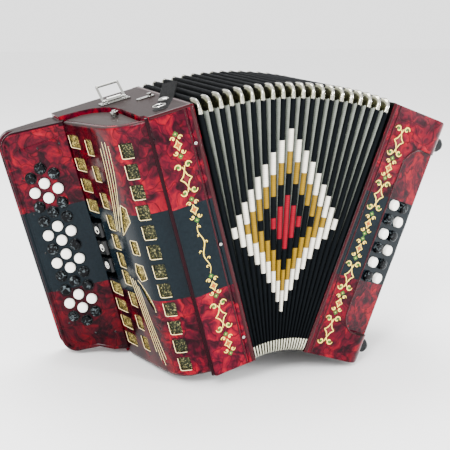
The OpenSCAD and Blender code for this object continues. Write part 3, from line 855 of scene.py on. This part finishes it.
def ornament(bm, u, w, large):
    """A gilt scroll in x and y, its face towards z. Materials: gilt, green, ruby, amber."""
    part = bmesh.new()

    def stroke(points, wide, closed=False, taper=0.5):
        sweep(part, [(x, y, 0.12) for x, y in points], UP, wide, 0.34, 6, closed, 0 if closed else taper)

    if large:
        stroke(concave_diamond(6.6, 9.6), 0.62, closed=True)
        for side in (-1, 1):
            for end in (-1, 1):
                cx, cy = side * 5.8, end * (14.6 if side == end else 13.4)
                curl = spiral(cx, cy, 4.2, 90 - 90 * side, 330 * side * end)
                stroke(curl, 0.72)
                stroke([(0, end * 9.2), (side * 0.7, end * 11.5), (cx - side * 4.2, cy)], 0.6, taper=0.2)
                disc(part, cx, cy, 2.0, 1, squeeze=1.2)
        disc(part, 0, 0, 2.9, 2, 0.2, 1.3)
    else:
        stroke(concave_diamond(4.4, 6.0), 0.55, closed=True)
        for side in (-1, 1):
            for end in (-1, 1):
                cx, cy = side * 4.1, end * 7.6
                stroke(spiral(cx, cy, 2.9, 90 - 90 * side, 300 * side * end), 0.62)
                disc(part, cx, cy, 0.8, 0)
        for end in (-1, 1):
            for a, b in ((1, 0), (-1, 0), (0, 1), (0, -1)):
                disc(part, a * 1.55, end * 12.3 + b * 1.55, 1.35, 1)
            disc(part, 0, end * 12.3, 0.7, 0, 0.15)
        disc(part, 0, 0, 2.2, 3, 0.2, 1.3)
    copy_into(bm, part, u, w)


def copy_into(bm, part, u, w):
    """Adds part to bm, moved to (u, w)."""
    bmesh.ops.translate(part, verts=part.verts, vec=(u, w, 0))
    mesh = bpy.data.meshes.new("part")
    part.to_mesh(mesh)
    part.free()
    bm.from_mesh(mesh)
    bpy.data.meshes.remove(mesh)


def vine(bm, u, w):
    """A plain waving vine with leaves, on the black band."""
    part = bmesh.new()
    line = [(2.2 * math.sin(k * 0.42), -30 + 2 * k, 0.12) for k in range(31)]
    sweep(part, line, UP, 0.6, 0.32, 6, taper=0.6)
    for k in range(6):
        side = 1 if k % 2 else -1
        x, y = 2.2 * math.sin((3 + 4.6 * k) * 0.42), -24 + 9.4 * k
        curl = spiral(x + side * 3.1, y + 2.2, 2.0, 180 if side > 0 else 0, -260 * side)
        sweep(part, [(a, b, 0.12) for a, b in curl], UP, 0.5, 0.3, 6, taper=0.5)
    copy_into(bm, part, u, w)


# Each scroll's height on its strip, and whether it is a large one
TREBLE_SCROLLS = ((270.2, 0), (232.9, 1), (197.2, 0), (105.8, 0), (68.5, 1), (32.8, 0))
BASS_SCROLLS = ((269.1, 1), (235.9, 0), (202, 1), (167, 0), (136.1, 0), (101.6, 1), (67.3, 0), (32.8, 1))
TREBLE_MIDDLE_U = -27
BASS_MIDDLE_U = 23.5


def ornaments():
    lift = Matrix.Translation((0, 1, 0)) @ FACE_ON
    treble = ("treble", TREBLE, TREBLE_MIDDLE_U, TREBLE_SCROLLS)
    for body, place, u, scrolls in (treble, ("bass", BASS, BASS_MIDDLE_U, BASS_SCROLLS)):
        bm = bmesh.new()
        for w, large in scrolls:
            ornament(bm, u, w, large)
        if body == "treble":
            vine(bm, u, 151.5)
        make(f"{body}_ornaments", bm, [GILT, GREEN, RUBY, AMBER], body, place @ lift)


# ---------- bellows ----------
def lean(place):
    """How far a casing's height axis leans towards +X, in radians."""
    w = place.to_3x3().col[2]
    return math.atan2(w.x, w.z)


FAN = lean(BASS) - lean(TREBLE)
ARCH = 4.8


def fan_point(t, y, w):
    """Point of the bellows at share t of the fan, depth y and height w along the pleat, in metres."""
    foot = TREBLE.translation.lerp(BASS.translation, t) + Vector((0, 0, ARCH * 4 * t * (1 - t) * MM))
    angle = lean(TREBLE) + FAN * t
    return foot + Vector((math.sin(angle), 0, math.cos(angle))) * (w * MM) + Vector((0, y * MM, 0))


# The section across a pleat runs from valley to valley over its ridge. With e the edge of the tape and
# v the bottom of the valley, each place is a weight of e, a weight of v, and its depth in millimetres.
RISE = [(0, 1, 15.0), (0.5, 0.5, 7.5), (1, 0, 2.3), (0.93, 0, 1.5), (0.7, 0, 0.75), (0.35, 0, 0.2),
        (0, 0, 0.0)]
SECTION = [(-e, -v, d) for e, v, d in RISE] + RISE[-2::-1]
# Spans of the section: those under the tape, those on its crown, and the first of the far flank
TAPE_PARTS = range(2, 10)
INNER_PARTS = range(4, 8)
FAR_FLANK = 10
VALLEY_SHARE = 0.5
TAPE_HALF = 3.25
WIDEST_EDGE = 0.455
BELLOWS_H = 310.0
TOP_R = 11.0
LOW_R = 5.0
CENTRE = 9
STEP_MM = 12.4
MIDDLE_W = 155.5
LEVELS = [MIDDLE_W + (k + 0.5) * STEP_MM for k in range(-10, 10)]
FRONT_LOW = 16.0
FRONT_HIGH = BELLOWS_H - 15.5


def pleat_width(w):
    return (CLOSED_W + w * FAN) / PLEATS


def tape_colour(column, w):
    """The diamond, as material numbers: red, black, gold and white outwards, then black."""
    reach = abs(w - MIDDLE_W) / STEP_MM + abs(column - CENTRE)
    for limit, colour in ((2.5, 5), (4.5, 0), (6.5, 3), (8.5, 4)):
        if reach < limit:
            return colour
    return 0


def pleat_ring(inset):
    """(y, w, zone) round a pleat at this inset, from low on the front; zone names the span that follows."""
    top, low, near, back = BELLOWS_H - inset, inset, inset, BODY_D - inset
    top_r = max(3.0, TOP_R - inset * 0.4)
    low_r = max(1.5, LOW_R - inset * 0.25)
    points = [(near, low + low_r, "foot")] + [(near, w, "front") for w in (FRONT_LOW, *LEVELS)]
    points += [(near, FRONT_HIGH, "collar")]
    bend = min(inset * 1.2, 2.5) * 0.7
    points += [(y + bend, w - bend, "corner") for y, w in arc(near + top_r, top - top_r, top_r, 180, 90, 6)]
    points += [(near + top_r + 4, top, "point"), (near + top_r + 9, top, "top")]
    points += [(y, top, "top") for y in (60, 95, 130, back - top_r - 9)]
    points += [(back - top_r - 4, top, "point")]
    points += [(y, w, "corner") for y, w in arc(back - top_r, top - top_r, top_r, 90, 0, 6)]
    points += [(back, FRONT_HIGH, "back")]
    points += [(back, w, "back") for w in LEVELS[::-2]]
    points += [(back, FRONT_LOW, "foot")]
    points += [(y, w, "foot") for y, w in arc(back - low_r, low + low_r, low_r, 0, -90, 4)]
    points += [(y, low, "under") for y in (130, 95, 60)]
    points += [(y, w, "foot") for y, w in arc(near + low_r, low + low_r, low_r, 270, 180, 4)[:-1]]
    return points


def pleat(column):
    """One ridge of the bellows with half a valley at each side, and its metal corners."""
    bm = bmesh.new()
    rings = []
    for e_share, v_share, inset in SECTION:
        outline = pleat_ring(inset)
        ring = []
        for y, w, _ in outline:
            edge = min(WIDEST_EDGE, TAPE_HALF / pleat_width(w))
            share = e_share * edge + v_share * VALLEY_SHARE
            ring.append(bm.verts.new(fan_point((column + 0.5 + share) / PLEATS, y, w)))
        rings.append(ring)
    zones = [zone for _, _, zone in outline]
    for part, (a, b) in enumerate(zip(rings, rings[1:])):
        for k, zone in enumerate(zones):
            n = (k + 1) % len(zones)
            face = bm.faces.new((a[k], a[n], b[n], b[k]))
            tape = part in TAPE_PARTS
            crown = part in INNER_PARTS
            # The outermost flank at each end, next to a frame, gets black tape instead of silver cloth: painted
            # shade in the gap there.
            outermost = part < TAPE_PARTS[0] and column == 0 or part >= FAR_FLANK and column == PLEATS - 1
            plated = zone == "corner" and not outermost
            plated = plated or (zone == "collar" and tape) or (zone in ("point", "foot") and crown)
            if plated:
                face.material_index = 2
            elif outermost or zone in ("top", "under", "point", "back", "foot"):
                face.material_index = 0
            elif zone == "front" and tape:
                face.material_index = tape_colour(column, (outline[k][1] + outline[n][1]) / 2)
            else:
                face.material_index = 1
    t = (column + 0.5) / PLEATS
    corner = arc(TOP_R, BELLOWS_H - TOP_R, TOP_R + 0.1, 180, 90, 8)
    for behind in (False, True):
        wire = [(-0.1, FRONT_HIGH - 1), *corner, (TOP_R + 6, BELLOWS_H + 0.1), (TOP_R + 10, BELLOWS_H - 0.1)]
        wire = [(BODY_D - y if behind else y, w) for y, w in wire]
        path = [fan_point(t, y, w) for y, w in wire]
        sweep(bm, path, path[-1] - path[0], 0.0007, 0.0006, 6, taper=0.5, material=6)
    name = f"bellows_pleat_{column + 1:02d}"
    materials = [TAPE, VALLEY, NICKEL, GOLD_TAPE, WHITE_TAPE, RED_TAPE, CHROME]
    nodes = ["bellows_folds"] if column == 0 else ()
    piece = make(name, bm, materials, stands_for=nodes, sharp=50)
    blend_pleat(piece, t)


def blend_pleat(piece, t):
    """Finds the share whose smoothstep is t, which nothing uses, and bakes the pleat's placement into its mesh."""
    low, high = 0.0, 1.0
    for _ in range(40):
        q = (low + high) / 2
        if q * q * (3 - 2 * q) < t:
            low = q
        else:
            high = q
    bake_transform(piece)


# ---------- straps ----------
# A strap's section, in shares of its width and thickness
STRAP_EDGE = [(-0.5, 0.25), (-0.5, 0.75), (-0.46, 1.0), (-0.3, 1.06), (0, 1.1), (0.3, 1.06), (0.46, 1.0),
              (0.5, 0.75), (0.5, 0.25), (0.46, 0.0), (0, 0.0), (-0.46, 0.0)]


def strap(name, path, along_w, wide, thick, place, body, node, tip=False, stitch=2.6):
    """A leather strap along path (points in place's millimetres); along_w is its width direction."""
    bm = bmesh.new()
    path = [Vector(p) for p in path]
    across = Vector(along_w).normalized()
    rings = []
    for i, p in enumerate(path):
        along = (path[min(i + 1, len(path) - 1)] - path[max(i - 1, 0)]).normalized()
        out = along.cross(across).normalized()
        width = wide
        if tip:
            run = (p - path[0]).length
            width = 2 * math.sqrt(max(0.5, (wide / 2) ** 2 - max(0.0, wide / 2 - run - 0.4) ** 2))
        rings.append([bm.verts.new(p + across * (a * width) + out * (b * thick)) for a, b in STRAP_EDGE])
    for a, b in zip(rings, rings[1:]):
        join(bm, a, b)
    bm.faces.new(rings[0])
    bm.faces.new(rings[-1])
    lines = running([tuple(p) for p in path])
    for side in (-1, 1):
        d = 4.0 if tip else 2.0
        while d + stitch < lines[-1] - 2:
            ends = []
            for run in (d, d + stitch * 0.62):
                i = max(k for k in range(len(lines) - 1) if run >= lines[k])
                p = path[i].lerp(path[i + 1], (run - lines[i]) / (lines[i + 1] - lines[i]))
                along = (path[i + 1] - path[i]).normalized()
                out = along.cross(across).normalized()
                ends.append(p + across * (side * (wide / 2 - 2.2)) + out * (thick * 1.05))
            sweep(bm, ends, out, 0.32, 0.28, 5, material=1)
            d += stitch
    make(name, bm, [LEATHER, STITCH], body, place, [node], sharp=50)


def smooth(points, steps):
    """A smooth chain through the points."""
    points = [Vector(p) for p in points]
    chain = []
    for i in range(len(points) - 1):
        near = [points[min(max(k, 0), len(points) - 1)] for k in (i - 1, i, i + 1, i + 2)]
        chain += [between(*near, k / steps) for k in range(steps)]
    return chain + [points[-1]]


BELLOWS_STRAP = [(0, -4, 0.3), (0, 0, 0.3), (0, 6, 0.3), (0, 20, 0.3), (0, 42, 0.4), (0, 60, 3.4),
                 (0, 93, 9.4)]
BELLOWS_STRAP_AT = (-31, 20, BODY_H)
BELLOWS_STRAP_TURN = -28.2
# The hand strap's distance from the end cover, and its height, from the upper end down
HAND_STRAP = [(0, 286), (0, 266), (29.5, 225), (37, 186), (37, 154), (37, 122), (29.5, 83), (0, 42), (0, 22)]
HAND_STRAP_Y = 111


def straps():
    turn = Matrix.Rotation(math.radians(BELLOWS_STRAP_TURN), 4, "Z")
    place = TREBLE @ Matrix.Translation(BELLOWS_STRAP_AT) @ turn
    path = smooth(BELLOWS_STRAP, 4)
    strap("bellows_strap_leather", path, (1, 0, 0), 18, 3.0, place, "treble", "bellows_strap", tip=True)
    bm = bmesh.new()
    sweep(bm, [(x, y, 3.9) for x, y in circle(0, 2.6, 6.6)], UP, 0.9, 0.8, 8, closed=True)
    make("strap_eyelet", bm, [CHROME], "treble", place)
    bm = bmesh.new()
    rings = []
    for f in (1.0, 0.85, 0.6, 0.3):
        z = 3.2 + 2.4 * math.sqrt(1 - f * f * 0.98)
        rings.append([bm.verts.new((x, y, z)) for x, y in circle(0, 34, 6.2 * f)])
    for a, b in zip(rings, rings[1:]):
        join(bm, a, b)
    bm.faces.new(rings[-1])
    bm.faces.new(rings[0][::-1])
    make("strap_snap", bm, [CHROME], "treble", place)
    route = [(BASS_W + 0.9 + off, HAND_STRAP_Y, w) for off, w in HAND_STRAP]
    strap("hand_strap", smooth(route, 6), INWARD, 62, 4.0, BASS, "bass", "bass_strap", stitch=4.0)


# ---------- looks of the CAD parts that stay ----------
PAINT = {
    "treble_casing": PEARL_T, "fingerboard": PEARL_BOARD, "treble_bellows_frame": PEARL_FRAME_T,
    "bass_bellows_frame": PEARL_FRAME_B, "bass_casing": PEARL_B, "bass_end_cover": PEARL_B,
    "treble_fittings": CHROME, "strap_ring": CHROME, "air_button": CHROME, "bass_feet": RUBBER,
    "treble_reed_blocks": SPRUCE, "bass_reed_block": SPRUCE, "register_switch_1": BLACK,
    "register_switch_2": BLACK, "register_switch_3": BLACK}


def paint_frame():
    for node, material in PAINT.items():
        data = frame["nodes"][node].data
        data.materials.clear()
        data.materials.append(material)


TOP_BASS_BUTTON = 197
BASS_COLUMNS = (12.5, 32.5)


def bass_buttons():
    """Six pairs; white and jet change places from pair to pair."""
    at = PANEL @ Matrix.Translation((0, 1.4, 0))
    for i in range(6):
        node = f"bass_buttons_{i + 1}"
        w = TOP_BASS_BUTTON - PITCH * i
        whites, jets = BASS_COLUMNS if i % 2 == 0 else BASS_COLUMNS[::-1]
        button(f"{node}_white", node, IVORY, at, whites, w, tall=5.6)
        button(f"{node}_jet", node, JET, at, jets, w, tall=5.6)


# ---------- stage ----------
def light(name, at, look, size, watts):
    data = bpy.data.lights.new(name, "AREA")
    data.shape = "RECTANGLE"
    data.size, data.size_y = size
    data.energy = watts
    lamp = put(name, data)
    lamp.location = at
    lamp.rotation_euler = (Vector(look) - Vector(at)).to_track_quat("-Z", "Y").to_euler()


def stage():
    bm = bmesh.new()
    bmesh.ops.create_grid(bm, x_segments=40, y_segments=40, size=6)
    mesh = bpy.data.meshes.new("floor")
    bm.to_mesh(mesh)
    bm.free()
    mesh.materials.append(floor_paint())
    floor = put("floor", mesh)
    floor.location.z = -0.0005
    world = bpy.data.worlds.new("studio")
    world.use_nodes = True
    sky = world.node_tree.nodes["Background"]
    sky.inputs["Color"].default_value = (1, 1, 1, 1)
    sky.inputs["Strength"].default_value = 2.2
    bpy.context.scene.world = world
    light("key", (-1.1, -1.3, 1.5), (0, 0, 0.15), (0.5, 0.7), 60)
    light("fill", (1.4, -1.6, 1.1), (0, 0, 0.15), (0.4, 0.8), 34)
    light("left_strip", (-1.5, -0.7, 0.5), (0, 0, 0.2), (0.06, 1.0), 10)
    light("right_strip", (1.2, -1.5, 0.6), (0, 0, 0.2), (0.06, 1.0), 22)
    light("top", (0.1, 0.7, 1.9), (0, 0, 0.15), (1.0, 1.0), 50)


# The view: from the left of the front and a little above, rolled by about a degree
EYE = (-0.453, -0.8942, 0.4076)
YAW = 23.05
PITCH_DOWN = 14.08
ROLL = 0.98
LENS = 73.42


def camera():
    yaw, down, roll = (math.radians(a) for a in (YAW, PITCH_DOWN, ROLL))
    forward = Vector((math.sin(yaw) * math.cos(down), math.cos(yaw) * math.cos(down), -math.sin(down)))
    right = Vector((math.cos(yaw), -math.sin(yaw), 0))
    above = right.cross(forward)
    turned_right = right * math.cos(roll) + above * math.sin(roll)
    turned_up = above * math.cos(roll) - right * math.sin(roll)
    data = bpy.data.cameras.new("camera")
    data.lens = LENS
    data.sensor_width = 36
    cam = put("camera", data)
    turn = Matrix((turned_right, turned_up, -forward)).transposed().to_4x4()
    middle = TREBLE.translation + Vector((CLOSED_W / 2 * MM, 0, 0))
    cam.matrix_world = Matrix.Translation(middle + Vector(EYE)) @ turn
    bpy.context.scene.camera = cam


camera()
stage()
paint_frame()
treble_buttons()
button_shadow_rings()
button_plate()
register_marks()
board_moulding()
grille()
grille_ends()
grille_highlight_edges()
glitter_backing()
strip_beads()
ornaments()
for number in range(PLEATS):
    pleat(number)
straps()
bass_buttons()
